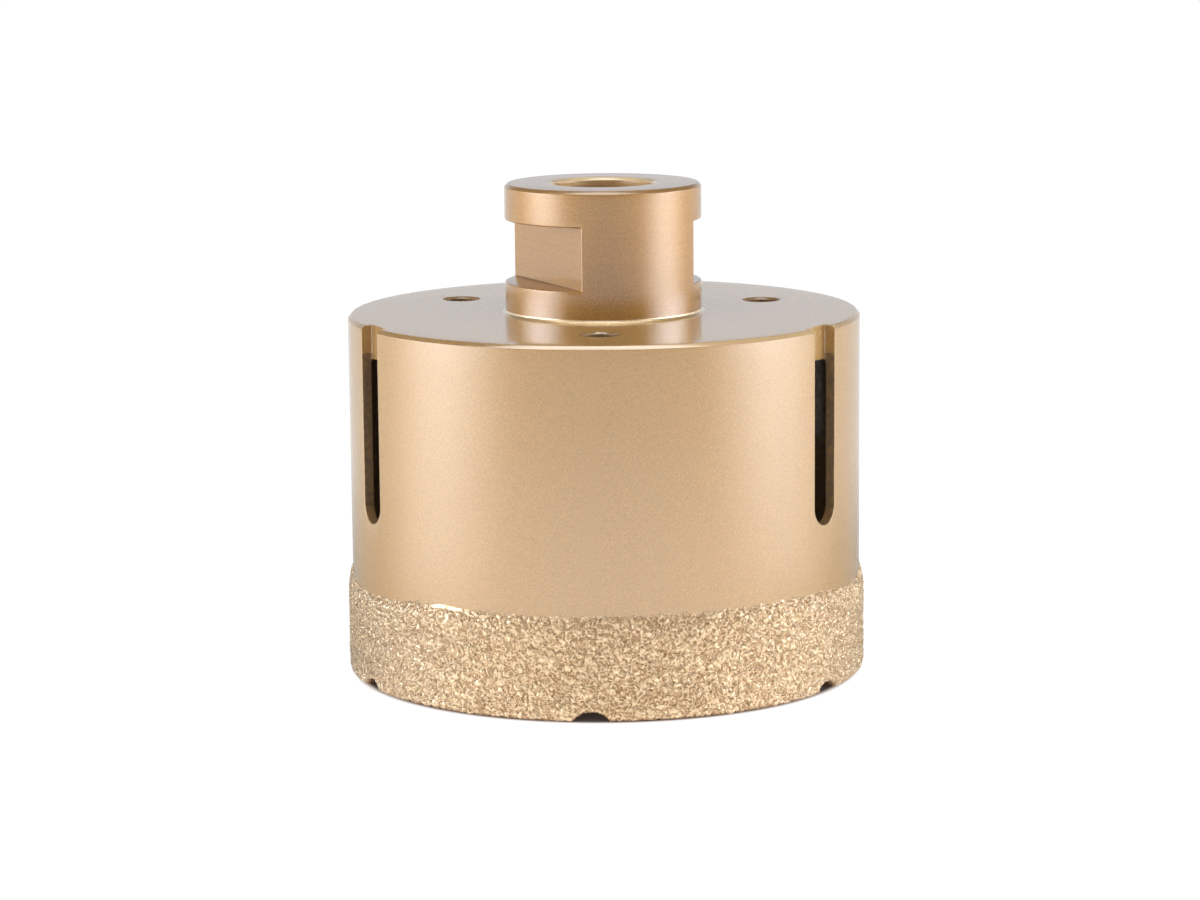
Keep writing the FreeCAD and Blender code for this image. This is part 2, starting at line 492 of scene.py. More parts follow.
def gritMaterial(look):
    material, tree = newMaterial("goldGrit")
    place = objectPlace(tree)
    height = stored(tree, "grainHeight")
    spray = sprayNode(tree, place, look)
    # painted shade: the low points between the grains are painted a darker pit colour
    colour = blendColours(tree, ramp(tree, height, *look["pitSpan"]), look["pit"], spray["Colour"])
    rough = ramp(tree, stored(tree, "grain"), *look["roughSpan"])
    colour = blendColours(tree, rough, look["smear"], colour)
    # painted shade: the grit is painted darker towards its left side (negative X)
    aside = axesOf(tree, place)["X"]
    colour = vectorCalc(tree, "SCALE", colour, ramp(tree, aside, *look["leftShadeSpan"], look["leftShadeTone"], 1.0))
    folds = noiseAt(tree, place, 1000.0 / look["foldSize"], 1.5, Distortion=1.2)["Fac"]
    ridge = ramp(tree, apart(tree, folds, 0.5), 0.0, look["foldWidth"], 1.0, 0.0)
    ridge = times(tree, ridge, rough)
    dulled = ramp(tree, rough, 0.0, 1.0, look["smearRoughness"], 1.0)
    bump = put(tree, "ShaderNodeBump", {"Height": ridge, "Strength": 1.0, "Distance": look["foldDepth"] * mm})
    # painted shade: the pits also get less coat, so they reflect less
    coat = ramp(tree, height, *look["pitSpan"], look["pitCoat"], 1.0)
    finishMaterial(tree, look, colour, times(tree, spray["Roughness"], dulled), coat, bump,
                   **{"Coat Normal": bump.outputs[0]})
    return material


goldBarrel = barrelMaterial(barrelFinish)
goldHub = turnedMaterial("goldHub", hubFinish)
goldBraze = turnedMaterial("goldBraze", brazeFinish)
goldGrit = gritMaterial(gritFinish)
print("materials ready")

# Cup: barrel and top plate
cupSpec = {"wall": 1.35, "foot": 0.8, "edgeChamfer": 0.5, "edgeRound": 0.15, "seatRadius": 10.05,
           "insideRound": 0.9, "segments": 360}
slotSpec = {"count": 3, "firstAngle": 60.0, "width": 5.2, "endHeight": 22.8, "pastWall": 0.3,
            "mouthRound": 0.15, "floorRound": 0.2, "roundAngles": (75, 50, 25, 0), "endSteps": 24,
            "clear": 1.0, "skin": 0.05, "overcut": 0.3}
ejectorSpec = {"angles": (2.2, 117.3, -120.4), "circle": 24.2, "diameter": 4.8, "countersink": 0.3,
               "mouthRound": 0.12, "sinkRound": 0.1, "relief": 0.2, "clear": 1.0, "flare": 1.5, "skin": 0.06}
# painted shade level for each kind of hollow face; the level below zero paints a highlight instead
shadeAndHighlightLevels = {"cavity": 0.6, "slotWall": 0.7, "slotEnd": 0.35, "hole": 0.4, "channel": 0.1,
                "holeEdge": 0.3, "edgeHighlight": -1.0}
shadeAndHighlightSpec = {"slack": 0.02, "edgeBand": 0.49, "edgeRise": (0.6, 0.8), "steep": 0.3, "holeRise": 0.97,
              "holeInset": 2.0, "channelInset": 0.18, "channelSteep": 0.5, "slotInset": 0.1,
              "slotEndRise": 0.25, "across": 0.6, "level": 0.9}
# azimuths over which the painted highlight on the plate's edge chamfer fades in and out
edgeHighlightSpec = {"start": (-24.0, -8.0), "end": (60.0, 74.0)}
notchSpec = {"count": 6, "arcRadius": 2.95, "height": 1.45, "coat": 0.55, "shoulderRound": 0.5,
             "filled": 0.22, "from": 31.0, "to": 38.0}


def makeSlotCutter(spec):
    # loops of the slot's outline, from outside the barrel in to the flat floor
    # the mouth flares to round its edge
    half = spec["width"] / 2
    turnHeight = spec["endHeight"] + half
    mouth, foot = spec["mouthRound"], spec["floorRound"]
    outer, top = barrelRadius / mm, cupTop / mm
    floor = outer - cupSpec["wall"] - spec["pastWall"]
    clear, skin = spec["clear"], spec["skin"]
    roundAngles = [math.radians(angle) for angle in spec["roundAngles"]]
    flare = mouth * (1 - math.cos(roundAngles[0])) + spec["overcut"]
    topRows = [(top + clear, flare), (top + skin, flare)]
    topRows += [(top - mouth * (1 - math.sin(angle)), mouth * (1 - math.cos(angle))) for angle in roundAngles]
    topRows += [(height, 0.0) for height in spaced(topRows[-1][0] - 1.0, turnHeight + 1.5, 3.0)]
    arc = [math.pi * step / spec["endSteps"] for step in range(spec["endSteps"] + 1)]

    def loopPoints(offset, depthOf):
        flatLoop = [(-(half + offset) - extra, height, extra) for height, extra in topRows]
        flatLoop += [(-(half + offset) * math.cos(angle), turnHeight - (half + offset) * math.sin(angle), 0.0)
                     for angle in arc]
        flatLoop += [(half + offset + extra, height, extra) for height, extra in reversed(topRows)]
        return [Vector((x, depthOf(x, extra), z)) for x, z, extra in flatLoop]

    def onBarrel(radius):
        return lambda x, extra: -math.sqrt(radius * radius - x * x)

    def onFloor(distance):
        return lambda x, extra: -(distance - extra)

    loops = [loopPoints(flare, onBarrel(outer + clear)), loopPoints(flare, onBarrel(outer + skin))]
    for angle in roundAngles:
        depth = mouth * (1 - math.sin(angle))
        loops.append(loopPoints(mouth * (1 - math.cos(angle)), onBarrel(outer - depth)))
    for angle in reversed(roundAngles):
        depth = foot * (1 - math.sin(angle))
        loops.append(loopPoints(-foot * (1 - math.cos(angle)), onFloor(floor + depth)))
    loops.append(loopPoints(-foot, onFloor(floor)))
    points = [point * mm for loop in loops for point in loop]
    faces = loopFaces(len(loops), len(loops[0]))
    cutter = newObject("slotCutter", meshFrom("slotCutter", points, faces=faces))
    faceOutwards(cutter)
    return cutter


def makeEjectorCutter(spec, angle):
    hole, sink, relief = spec["diameter"] / 2, spec["countersink"], spec["relief"]
    top, under = cupTop / mm, plateUnderside / mm
    above, below, mouth = top + spec["clear"], under - spec["clear"], hole + sink
    cutter = turnedPiece("ejectorCutter", [
        (0.0, below, 0), (hole + relief, below, 0), (hole + relief, under, 0), (hole, under + relief, 0),
        (hole, top - sink, spec["sinkRound"]), (mouth, top, spec["mouthRound"]),
        (mouth + spec["flare"], top + spec["skin"], 0), (mouth + spec["flare"], above, 0),
        (0.0, above, 0)], 64, goldBarrel, arcSteps=4)
    cutter.data.transform(Matrix.Translation(onRing(spec["circle"] * mm, angle, 0)))
    return cutter


def makeNotchCutter(spec):
    radius = spec["arcRadius"] + spec["coat"]
    start, end = spec["from"], spec["to"]
    cutter = turnedPiece("notchCutter", [(0, start, 0), (radius, start, 0), (radius, end, 0), (0, end, 0)],
                         96, goldBarrel)
    lay = Matrix.Rotation(math.radians(90), 4, "X")
    centre = Matrix.Translation(Vector((0, 0, (spec["height"] - spec["arcRadius"]) * mm)))
    cutter.data.transform(centre @ lay)
    return cutter


def markShadeAndHighlight(body, spec):
    # painted shade for each face: the cavity, slot walls, ejector holes and the channels in the plate's edge
    # are marked to be painted dark; a negative mark paints a highlight on part of the plate's edge chamfer
    outer, inner = barrelRadius, barrelRadius - cupSpec["wall"] * mm
    slack, edgeBand = spec["slack"] * mm, spec["edgeBand"] * mm
    levels = []
    for face in body.data.polygons:
        centre, normal = face.center, face.normal
        radius, rise = centre.to_2d().length, normal.z
        across = abs(normal.to_2d().dot(centre.to_2d())) / radius < spec["across"] and abs(rise) < spec["level"]
        inPlate = radius < inner - spec["holeInset"] * mm
        kind = None
        if radius < inner + slack and centre.z < plateUnderside + slack:
            kind = "cavity"
        elif radius < cupSpec["seatRadius"] * mm + slack:
            kind = None
        elif (radius > outer - edgeBand and centre.z > cupTop - edgeBand
              and spec["edgeRise"][0] < rise < spec["edgeRise"][1]):
            kind = "edgeHighlight"
        elif centre.z > plateUnderside - slack:
            if inPlate and abs(rise) < spec["steep"]:
                kind = "hole"
            elif inPlate and spec["steep"] < rise < spec["holeRise"]:
                kind = "holeEdge"
            elif (inner - spec["holeInset"] * mm < radius < outer - spec["channelInset"] * mm
                  and abs(rise) < spec["channelSteep"]):
                kind = "channel"
        elif inner < radius < outer - spec["slotInset"] * mm and (across or abs(rise) > spec["steep"]):
            kind = "slotEnd" if rise > spec["slotEndRise"] else "slotWall"
        level = shadeAndHighlightLevels[kind] if kind else 0.0
        # the painted highlight on the edge chamfer fades out at both ends of an arc of azimuths
        if kind == "edgeHighlight":
            angle = math.degrees(math.atan2(centre.x, -centre.y))
            level *= smoothStep(*edgeHighlightSpec["start"], angle) * (1 - smoothStep(*edgeHighlightSpec["end"], angle))
        levels.append(level)
    mark(body.data, "shadeAndHighlight", levels)


def makeCup():
    outer, top, under = barrelRadius / mm, cupTop / mm, plateUnderside / mm
    inner = outer - cupSpec["wall"]
    chamfer, edgeRound = cupSpec["edgeChamfer"], cupSpec["edgeRound"]
    blank = turnedPiece("cupBody", [
        (inner, cupSpec["foot"], 0), (outer, cupSpec["foot"], 0), (outer, top - chamfer, edgeRound),
        (outer - chamfer, top, edgeRound), (cupSpec["seatRadius"], top, 0), (cupSpec["seatRadius"], under, 0),
        (inner, under, cupSpec["insideRound"])], cupSpec["segments"], goldBarrel, arcSteps=5, longestRun=3.0)
    slots = ringed(makeSlotCutter(slotSpec), slotSpec["count"], slotSpec["firstAngle"], goldBarrel)
    holes = [makeEjectorCutter(ejectorSpec, angle) for angle in ejectorSpec["angles"]]
    notches = ringed(makeNotchCutter(notchSpec), notchSpec["count"], 0.0, goldBarrel)
    body = cutWith(blank, [slots, notches] + holes)
    markShadeAndHighlight(body, shadeAndHighlightSpec)
    shadeByAngle(body, 32)
    return body


cupBody = makeCup()
fit(cupBody, "cup")
print("cup made:", len(cupBody.data.polygons), "faces")

# Hub: turned body with two milled flats
hubSpec = {"lowerFlange": 4.25, "upperFlange": 4.9, "topChamfer": 0.45, "topRound": 0.18, "flatRound": 0.3,
           "ledgeRound": 0.18, "edgeRound": 0.22, "mouthChamfer": 0.42, "endChamfer": 1.0, "spigotRadius": 10.0,
           "spigotChamfer": 0.4, "topClearance": 0.002, "flatAngles": (-60.0, 120.0), "columnStep": 1.5,
           "fineStep": 0.12, "fineReach": 1.2, "boreWorn": 0.35, "boreLightDepth": 6.0, "footSunk": 0.05,
           "mouthRounds": (0.05, 0.12), "mostRound": 0.45}


def flatReach(degreesFromNormal, spec):
    # the hub's radius between its flanges, with the milled edge rounded off
    outer, flat, edge = hubRadius / mm, flatDistance / mm, spec["edgeRound"]
    turn = math.radians(abs(degreesFromNormal))
    across = math.sqrt((outer - edge) ** 2 - (flat - edge) ** 2)
    if turn < math.atan2(across, flat):
        return flat / math.cos(turn)
    if turn > math.atan2(across, flat - edge):
        return outer
    along = across * math.sin(turn) + (flat - edge) * math.cos(turn)
    return along + math.sqrt(along * along - across * across - (flat - edge) ** 2 + edge * edge)


def arcPoints(centre, radius, startDegrees, endDegrees, steps):
    turns = [math.radians(angle) for angle in evenRun(startDegrees, endDegrees, steps)]
    return [(centre[0] + radius * math.cos(turn), centre[1] + radius * math.sin(turn)) for turn in turns]


def hubColumn(inner, spec):
    outer, bore = hubRadius / mm, boreRadius / mm
    foot, top, under = cupTop / mm, hubTop / mm - spec["topClearance"], plateUnderside / mm
    low, high = foot + spec["lowerFlange"], top - spec["upperFlange"]
    mostRound = (outer - inner) * spec["mostRound"]
    ledge, corner = min(spec["ledgeRound"], mostRound), min(spec["flatRound"], mostRound)
    sunk, lip = foot - spec["footSunk"], spec["mouthRounds"]
    chamfer, mouth = spec["topChamfer"], spec["mouthChamfer"]
    outline = [(bore + spec["endChamfer"], under), (spec["spigotRadius"] - spec["spigotChamfer"], under),
               (spec["spigotRadius"], under + spec["spigotChamfer"]), (spec["spigotRadius"], sunk),
               (outer, sunk)]
    outline += [(outer, foot + 1.0), (outer, low - 1.0)]
    outline += arcPoints((outer - ledge, low - ledge), ledge, 0, 90, 4)
    outline += arcPoints((inner + corner, low + corner), corner, -90, -180, 5)
    outline += [(inner, height) for height in spaced(low + 1.2, high - 1.2, 1.2)]
    outline += arcPoints((inner + corner, high - corner), corner, 180, 90, 5)
    outline += arcPoints((outer - ledge, high + ledge), ledge, -90, 0, 4)
    outline += [(outer, high + 1.0), (outer, top - chamfer - 1.0)]
    outline += [tuple(point) for point in roundedOutline([
        (outer, high, 0), (outer, top - chamfer, spec["topRound"]), (outer - chamfer, top, spec["topRound"]),
        (bore, top, 0)], 4)[1:-1]]
    outline += [(bore + mouth + 1.0, top)]
    outline += [tuple(point) for point in roundedOutline([
        (outer - chamfer, top, 0), (bore + mouth, top, lip[0]), (bore, top - mouth, lip[1]),
        (bore, under, 0)], 3)[1:-1]]
    outline += [(bore, height) for height in spaced(top - 1.5, under + spec["endChamfer"], 2.0)]
    return outline


def makeHub(spec):
    edgeAngle = math.degrees(math.acos(flatDistance / hubRadius))
    angles = set()
    for normal in spec["flatAngles"]:
        for side in (-1, 1):
            middle = normal + side * edgeAngle
            offsets = spaced(-spec["fineReach"], spec["fineReach"], spec["fineStep"])
            angles.update(round((middle + offset) % 360, 4) for offset in offsets)
    for angle in spaced(0, 360 - spec["columnStep"], spec["columnStep"]):
        if min(abs((angle - other + 180) % 360 - 180) for other in angles) > 0.5 * spec["columnStep"]:
            angles.add(round(angle, 4))
    columns = []
    for angle in sorted(angles):
        away = min(abs((angle - normal + 180) % 360 - 180) for normal in spec["flatAngles"])
        column = hubColumn(flatReach(away, spec), spec)
        columns.append([onRing(radius * mm, angle, height * mm) for radius, height in column])
    points = [point for column in columns for point in column]
    faces = loopFaces(len(columns), len(columns[0]), joined=True)
    hub = newObject("hubBody", meshFrom("hubBody", points, faces=faces))
    hub.data.materials.append(goldHub)
    faceOutwards(hub, 1e-7)
    # painted light: the bore's mouth chamfer is painted a lighter gold as a highlight, and the upper bore wall
    # is painted somewhat lighter
    mouthRadius = boreRadius + spec["mouthChamfer"] * mm
    levels = []
    for face in hub.data.polygons:
        inside = face.center.to_2d().length < mouthRadius
        depth = (hubTop - face.center.z) / mm
        paintedLight = 1.0 if depth < spec["mouthChamfer"] else spec["boreWorn"]
        levels.append(paintedLight if inside and depth < spec["boreLightDepth"] else 0.0)
    mark(hub.data, "paintedLight", levels)
    shadeByAngle(hub, 32)
    return hub


hubBody = makeHub(hubSpec)
fit(hubBody, "spindle_hub")
print("hub made:", len(hubBody.data.polygons), "faces")

# Braze ring at the hub's foot
brazeSpec = {"leg": 0.4, "sink": 0.04, "segments": 240}


def makeBrazeRing(spec):
    outer, foot, leg, sink = hubRadius / mm, cupTop / mm, spec["leg"], spec["sink"]
    corners = [(outer - sink, foot - sink, 0), (outer + leg, foot - sink, 0)]
    corners += [(x, z, 0) for x, z in arcPoints((outer + leg, foot + leg), leg, -90, -180, 8)]
    corners += [(outer - sink, foot + leg, 0)]
    ring = turnedPiece("brazeRing", corners, spec["segments"], goldBraze)
    shadeByAngle(ring, 40)
    return ring


brazeRing = makeBrazeRing(brazeSpec)
fit(brazeRing, "braze_fillet")
print("braze ring made")

# Grit coat: six segments of one band, split in the middle of the notches
gritSpec = {"columnStep": 0.115, "outsideRows": 122, "endRows": 12, "insideRows": 36, "topHeight": 14.1,
            "topFade": 2.6, "topPower": 1.8, "ragged": 0.35, "outsideBase": 0.42, "insideBase": 0.4,
            "endBase": 0.16, "cornerRound": 0.45, "cornerSteps": 5, "insideTop": 10.2, "insideFade": 9.0,
            "endWeight": 0.6, "insideWeight": 0.7, "sink": 0.14, "insideSink": 0.12, "rootDepth": 0.3,
            "rootRise": 1.4, "raggedRadii": (30.0, 90.0), "raggedFine": 0.6}
smearSpec = {"angle": -33.0, "halfWidth": 9.0, "rise": 0.3, "weight": 0.08, "foot": 1.3, "head": 0.7}
dipSpec = {"angles": (-61.0, 76.0), "halfWidth": 22.0, "depth": 0.9}
grainSpec = {"Grain Size": 0.7, "Worm Size": 0.62, "Fine Size": 0.42, "Warp": 0.22, "Grain Height": 0.37}


def notchHeight(across):
    # height of the open notch over the floor, with softened shoulders
    spec = notchSpec
    reach = abs(across)
    arc = spec["arcRadius"]
    centre = spec["height"] - arc
    rise = centre + math.sqrt(max(arc * arc - reach * reach, 0.0)) if reach < arc else -1.0
    soft = spec["shoulderRound"]
    share = max(0.0, min(1.0, 0.5 + 0.5 * rise / soft))
    return max(0.0, (rise - spec["filled"]) * share + soft * share * (1 - share) * 0.5)


def hump(angle, middle, halfWidth):
    return 1.0 - smoothStep(0.2, 1.0, abs((angle - middle + 180) % 360 - 180) / halfWidth)


def gritColumn(angle):
    # (place, push direction, weight): down the outside, round the rim, up inside, then back in the steel
    spec = gritSpec
    outer, inner = barrelRadius / mm, barrelRadius / mm - cupSpec["wall"]
    away = (angle + 30) % 60 - 30
    across = math.radians(away) * outer
    rise = notchHeight(across)
    slope = (notchHeight(across + 0.05) - notchHeight(across - 0.05)) / 0.1
    radial = onRing(1, angle, 0)
    around = onRing(1, angle + 90, 0)
    down = (around * slope - Vector((0, 0, 1))).normalized()
    outside, inside = outer + spec["outsideBase"], inner - spec["insideBase"]
    end, corner, root = rise + spec["endBase"], spec["cornerRound"], rise + spec["rootRise"]
    turns = [math.radians(turn) for turn in evenRun(0, 90, spec["cornerSteps"])]
    outsideWeights = evenRun(1.0, spec["endWeight"], spec["cornerSteps"])
    insideWeights = evenRun(spec["endWeight"], spec["insideWeight"], spec["cornerSteps"])
    smear = hump(angle, smearSpec["angle"], smearSpec["halfWidth"])
    dip = sum(hump(angle, middle, dipSpec["halfWidth"]) for middle in dipSpec["angles"])
    coarse, fine = (noise.noise(onRing(radius, angle, 0.0)) for radius in spec["raggedRadii"])
    raggedEdge = coarse + spec["raggedFine"] * fine * (1 - smear)
    top = spec["topHeight"] + spec["ragged"] * raggedEdge + smearSpec["rise"] * smear - dipSpec["depth"] * dip
    path = []

    def add(radius, height, push, weight):
        path.append((onRing(radius, angle, height), push, weight))

    for height in evenRun(top, end + corner, spec["outsideRows"])[:-1]:
        sunk = max(0.0, (height - top) / spec["topFade"] + 1.0) ** spec["topPower"]
        smooth = smear * smoothStep(top - smearSpec["foot"], top - smearSpec["head"], height)
        add(outside - sunk * (spec["outsideBase"] + spec["sink"]), height, radial,
            1.0 + (smearSpec["weight"] - 1.0) * smooth)
    for turn, weight in zip(turns, outsideWeights):
        push = radial * math.cos(turn) + down * math.sin(turn)
        add(outside - corner + corner * math.cos(turn), end + corner - corner * math.sin(turn), push, weight)
    for radius in evenRun(outside - corner, inside + corner, spec["endRows"])[1:-1]:
        add(radius, end, down, spec["endWeight"])
    for turn, weight in zip(turns, insideWeights):
        push = down * math.cos(turn) - radial * math.sin(turn)
        add(inside + corner - corner * math.sin(turn), end + corner - corner * math.cos(turn), push, weight)
    for height in evenRun(end + corner, spec["insideTop"], spec["insideRows"])[1:]:
        sunk = smoothStep(spec["insideFade"], spec["insideTop"], height)
        add(inside + sunk * (spec["insideBase"] + spec["insideSink"]), height, -radial, spec["insideWeight"])
    inRoot, outRoot = inner + spec["rootDepth"], outer - spec["rootDepth"]
    for radius, height in ((inRoot, spec["insideTop"]), (inRoot, root), (outRoot, root), (outRoot, top)):
        add(radius, height, radial, 0.0)
    return path


# Geometry Nodes: pushes the coat out into merged grains
grainShape = {"stirScale": 1.1, "stirGain": 4.0, "domeWidth": 0.62, "domeSpan": (0.3, 1.0),
              "domeLevels": (0.15, 1.0), "wormWidth": 0.075, "wormLevel": 0.62, "fineWidth": 0.09,
              "fineLevel": 0.42, "fineSeed": 7.3, "blend": 0.1, "lowest": 0.01}


def grainTree(shape):
    tree, given, result = newShapeTree("grainCoat", {
        "Grain Size": 0.7, "Worm Size": 0.6, "Fine Size": 0.4, "Warp": 0.25, "Grain Height": 0.4, "Seed": 3.0})
    place = vectorCalc(tree, "SCALE", put(tree, "GeometryNodeInputPosition").outputs[0], 1000.0)
    stir = noiseAt(tree, place, shape["stirScale"], 1.0, W=given["Seed"])["Color"]
    shift = vectorCalc(tree, "SCALE", vectorCalc(tree, "SUBTRACT", stir, (0.5, 0.5, 0.5)), given["Warp"])
    warped = vectorCalc(tree, "ADD", place, vectorCalc(tree, "SCALE", shift, shape["stirGain"]))

    def folds(size, seed, halfWidth):
        # narrow ridges that wander along the level lines of a noise
        swirl = noiseAt(tree, warped, calc(tree, "DIVIDE", 1.0, size), 0.0, W=seed)["Fac"]
        return ramp(tree, apart(tree, swirl, 0.5), 0.0, halfWidth, 1.0, 0.0)

    cells = put(tree, "ShaderNodeTexVoronoi", {
        "Vector": warped, "W": given["Seed"], "Scale": calc(tree, "DIVIDE", 1.0, given["Grain Size"]),
        "Randomness": 1.0}, voronoi_dimensions="4D", feature="F1")
    fall = calc(tree, "DIVIDE", cells.outputs["Distance"], shape["domeWidth"])
    dome = calc(tree, "SQRT", calc(tree, "SUBTRACT", 1.0, times(tree, fall, fall), clamp=True))
    pick = axesOf(tree, cells.outputs["Color"])["X"]
    grains = times(tree, dome, ramp(
        tree, pick, *shape["domeSpan"], *shape["domeLevels"], smooth=False))
    otherSeed = calc(tree, "ADD", given["Seed"], shape["fineSeed"])
    worms = folds(given["Worm Size"], given["Seed"], shape["wormWidth"])
    worms = times(tree, worms, shape["wormLevel"])
    fine = folds(given["Fine Size"], otherSeed, shape["fineWidth"])
    fine = times(tree, fine, shape["fineLevel"])
    height = calc(tree, "SMOOTH_MAX", grains, worms, shape["blend"])
    height = calc(tree, "SMOOTH_MAX", height, fine, shape["blend"])
    height = calc(tree, "MINIMUM", height, 1.0)
    weight = put(tree, "GeometryNodeInputNamedAttribute", {"Name": "grain"}, data_type="FLOAT").outputs[0]
    push = put(tree, "GeometryNodeInputNamedAttribute", {"Name": "push"}, data_type="FLOAT_VECTOR").outputs[0]
    reach = times(tree, times(tree, height, weight), given["Grain Height"])
    offset = vectorCalc(tree, "SCALE", push, times(tree, reach, mm))
    kept = put(tree, "GeometryNodeStoreNamedAttribute", {
        "Geometry": given["Geometry"], "Name": "grainHeight", "Value": height},
        data_type="FLOAT", domain="POINT")
    # no grain reaches below the plane that the rim stands on
    moving = put(tree, "GeometryNodeInputPosition").outputs[0]
    spot = axesOf(tree, vectorCalc(tree, "ADD", moving, offset))
    level = calc(tree, "MAXIMUM", spot["Z"], shape["lowest"] * mm)
    moved = put(tree, "ShaderNodeCombineXYZ", {"X": spot["X"], "Y": spot["Y"], "Z": level})
    shaped = put(tree, "GeometryNodeSetPosition", {"Geometry": kept.outputs[0], "Position": moved.outputs[0]})
    return sendPainted(tree, shaped, given, result)


grainCoat = grainTree(grainShape)


def makeGritSegment(number):
    first = 60.0 * (number - 1)
    count = math.ceil(math.radians(60) * rimRadius / (gritSpec["columnStep"] * mm))
    columns = [gritColumn(first + 60.0 * step / count) for step in range(count + 1)]
    rows = len(columns[0])
    flat = [item for column in columns for item in column]
    faces = loopFaces(len(columns), rows)
    spots = [spot for step in range(count) for row in range(rows)
             for spot in ((step, row), (step, row + 1), (step + 1, row + 1), (step + 1, row))]
    spots += [(0, 0)] * (2 * rows)
    name = "gritSegment_" + str(number)
    segment = newObject(name, meshFrom(name, [place * mm for place, push, weight in flat], faces=faces))
    mesh = segment.data
    mark(mesh, "grain", [weight for place, push, weight in flat], "POINT")
    mark(mesh, "push", [part for place, push, weight in flat for part in push], "POINT", "FLOAT_VECTOR")
    layer = mesh.uv_layers.new(name="OFBake")
    layer.data.foreach_set("uv", [part for across, up in spots for part in (across / count, up / rows)])
    addTree(segment, grainCoat, dict(grainSpec, Material=goldGrit))
    return settle(segment, name)


for segmentNumber in range(1, 7):
    segment = makeGritSegment(segmentNumber)
    faceOutwards(segment)
    shadeByAngle(segment, 80)
    fit(segment, "grit_rim")
print("grit coat made:", len(segment.data.polygons), "faces a segment")

# Thread in the bore
threadSpec = {"pitch": 2.0, "bottom": 47.0, "top": 61.5, "ridge": 1.05, "sink": 0.15, "tip": 0.15,
              "rootShare": 0.44}


def threadTree():
    tree, given, result = newShapeTree("threadRidge", {
        "Radius": 0.007, "Turns": 7.0, "Height": 0.014, "Taper": 0.05})
    spiral = put(tree, "GeometryNodeCurveSpiral", {
        "Resolution": 96, "Rotations": given["Turns"], "Start Radius": given["Radius"],
        "End Radius": given["Radius"], "Height": given["Height"]})
    upright = put(tree, "GeometryNodeSetCurveNormal", {"Curve": spiral.outputs[0]}, mode="Z_UP")
    share = put(tree, "GeometryNodeSplineParameter").outputs["Factor"]
    start = ramp(tree, share, 0.0, given["Taper"], 0.02, 1.0)
    stop = ramp(tree, share, calc(tree, "SUBTRACT", 1.0, given["Taper"]), 1.0, 1.0, 0.02)
    profile = put(tree, "GeometryNodeMeshToCurve", {"Mesh": given["Geometry"]})
    swept = put(tree, "GeometryNodeCurveToMesh", {
        "Curve": upright.outputs[0], "Profile Curve": profile.outputs[0],
        "Scale": times(tree, start, stop), "Fill Caps": True})
    return sendPainted(tree, swept, given, result)


def makeThread(spec):
    # the profile's X points out from the ridge and its Y along the bore
    ridge, sink, tip, half = spec["ridge"], spec["sink"], spec["tip"], spec["pitch"] * spec["rootShare"]
    profile = [(-sink, -half), (0.0, -half), (ridge, -tip), (ridge, tip), (0.0, half), (-sink, half)]
    source = chainObject("threadProfile", [(x * mm, y * mm, 0) for x, y in profile])
    length = spec["top"] - spec["bottom"]
    addTree(source, threadTree(), {
        "Radius": boreRadius, "Turns": length / spec["pitch"], "Height": length * mm, "Taper": 0.06,
        "Material": goldHub})
    thread = settle(source, "hubThread")
    thread.data.transform(Matrix.Translation(Vector((0, 0, spec["bottom"] * mm))))
    faceOutwards(thread)
    shadeByAngle(thread, 30)
    return thread


hubThread = makeThread(threadSpec)
fit(hubThread, "spindle_hub")
low, high = Vector(hubThread.bound_box[0]), Vector(hubThread.bound_box[6])
print("thread made:", [round(value / mm, 2) for value in low], [round(value / mm, 2) for value in high])

# Floor, background and lamps
studioSpec = {
    "floorSize": 6.0, "floorLevel": -0.02, "sideGlow": 10.0, "sideAzimuths": (-79.0, 84.0), "sideReach": 41.0,
    "sideElevation": 8.0, "sideRise": 13.0, "topWidth": 1.4, "topDepth": 0.13, "topHeight": 0.75,
    "topForward": 0.11, "topStrength": 4.3, "frontWidth": 0.5, "frontHeight": 0.3, "frontDistance": 0.54,
    "frontLevel": 0.45, "frontStrength": 1.5, "glowSpan": (-0.6, 0.8), "glowLevels": (0.12, 0.9),
    "upperSpan": (0.2, 0.45), "upperGlow": 0.22, "fill": 0.7, "coolGlow": (0.9, 0.95, 1.02, 1)}
paperSpec = {
    "white": 0.12, "shown": 0.93, "frontSpan": (0.1, 0.36), "frontLevels": (1.6, 0.9), "backSpan": (0.06, 0.2),
    "backLevels": (0.4, 0.85), "turnSpan": (35.0, 95.0), "bands": (-73.0, 76.0), "bandReach": 38.0,
    "bandSpan": (0.07, 0.42), "bandLevels": (0.95, 2.75), "bandGate": (0.055, 0.12), "shade": 0.03,
    "shadeInner": 34.9, "shadeOuter": 36.4, "shadeDrawn": 0.7, "shadeTint": (1.0, 0.72, 0.58, 1)}


def seenDirectly(tree):
    rays = put(tree, "ShaderNodeLightPath").outputs
    straight = calc(tree, "ADD", rays["Is Camera Ray"], rays["Is Transmission Ray"], clamp=True)
    return straight, rays["Is Glossy Ray"]


def azimuthOf(tree, axes):
    return calc(tree, "ARCTAN2", axes["X"], times(tree, axes["Y"], -1.0))


def nearAzimuth(tree, azimuth, degrees, reach):
    # 1 at an angle counted from the camera's own azimuth, 0 at its reach
    away = apart(tree, azimuth, math.radians(degrees + cameraSpec["azimuth"]))
    return ramp(tree, away, 0.0, math.radians(reach), 1.0, 0.0)


